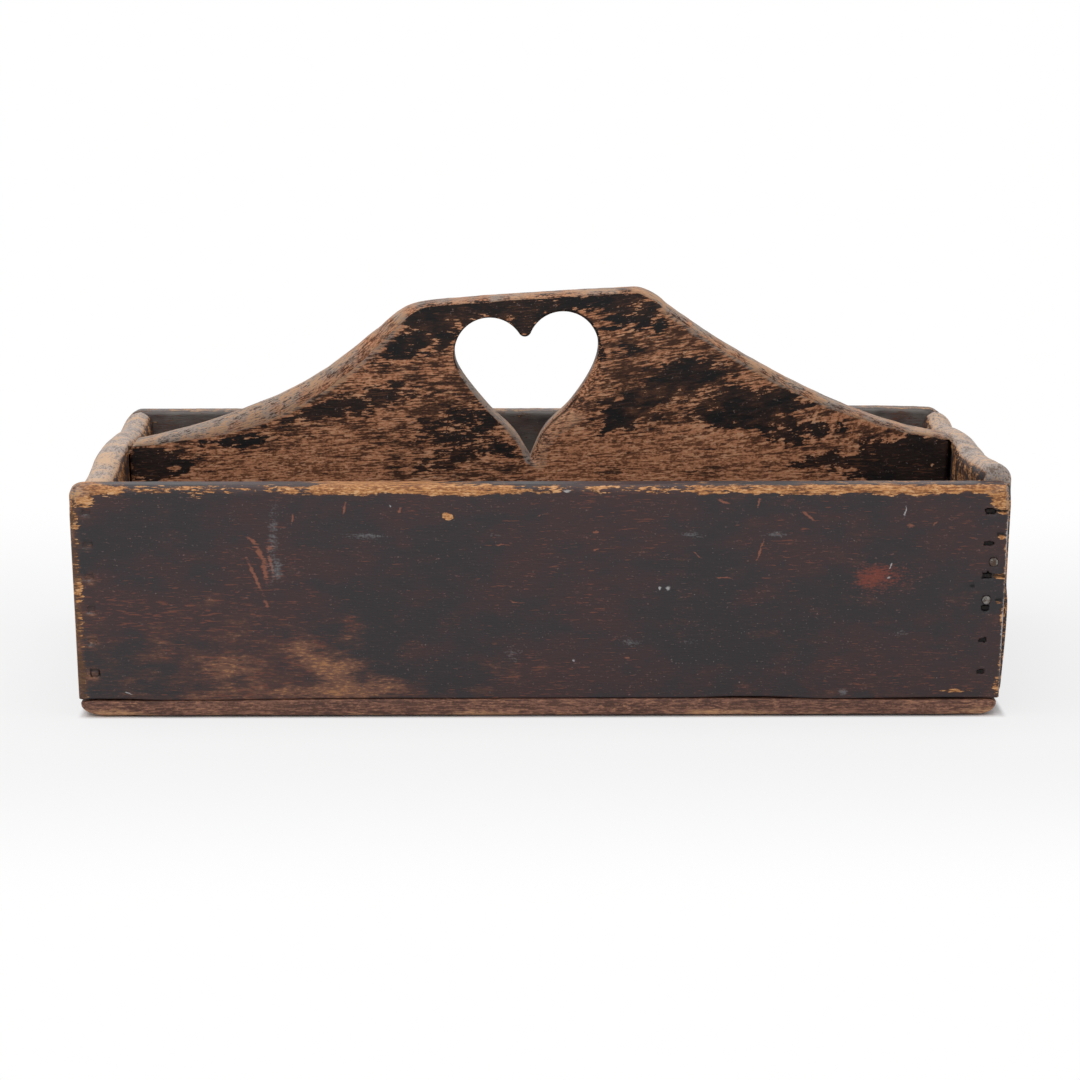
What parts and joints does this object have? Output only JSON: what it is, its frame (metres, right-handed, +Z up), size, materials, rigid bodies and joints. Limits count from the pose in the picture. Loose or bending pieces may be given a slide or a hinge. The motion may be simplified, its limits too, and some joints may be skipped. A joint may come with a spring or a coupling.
{
  "type": "knife tray",
  "caption": "Wooden two-compartment knife tray with canted ends and a tall dividing board that forms the carrying handle, pierced by a heart-shaped grip.",
  "frame": {"origin": "middle of the underside, at the centre of the outside length and depth", "axes": "+X along the tray to the right seen from the front, +Y from front to back, +Z up"},
  "size_m": [0.3848, 0.193, 0.1644],
  "materials": {
    "painted_board": "old dark paint, worn to bare wood along the edges",
    "worn_board": "old dark paint worn through to brown wood in streaks along the grain",
    "bottom_wood": "bare softwood, darkened with age",
    "cut_nail_iron": "rusted cut iron",
    "wire_nail_steel": "dull wire steel with rust"
  },
  "bodies": {
    "root": {"front_board": "painted_board", "back_board": "painted_board", "left_end_board": "painted_board", "right_end_board": "painted_board", "handle_divider": "worn_board", "bottom_board": "bottom_wood", "front_left_nails": "cut_nail_iron", "front_right_nails": "cut_nail_iron", "front_right_repair_nails": "wire_nail_steel", "back_left_nails": "cut_nail_iron", "back_right_nails": "cut_nail_iron", "left_end_divider_nails": "cut_nail_iron", "right_end_divider_nails": "cut_nail_iron", "bottom_front_nails": "cut_nail_iron", "bottom_back_nails": "cut_nail_iron", "bottom_left_nails": "cut_nail_iron", "bottom_right_nails": "cut_nail_iron", "bottom_divider_nails": "cut_nail_iron"}
  },
  "joints": []
}
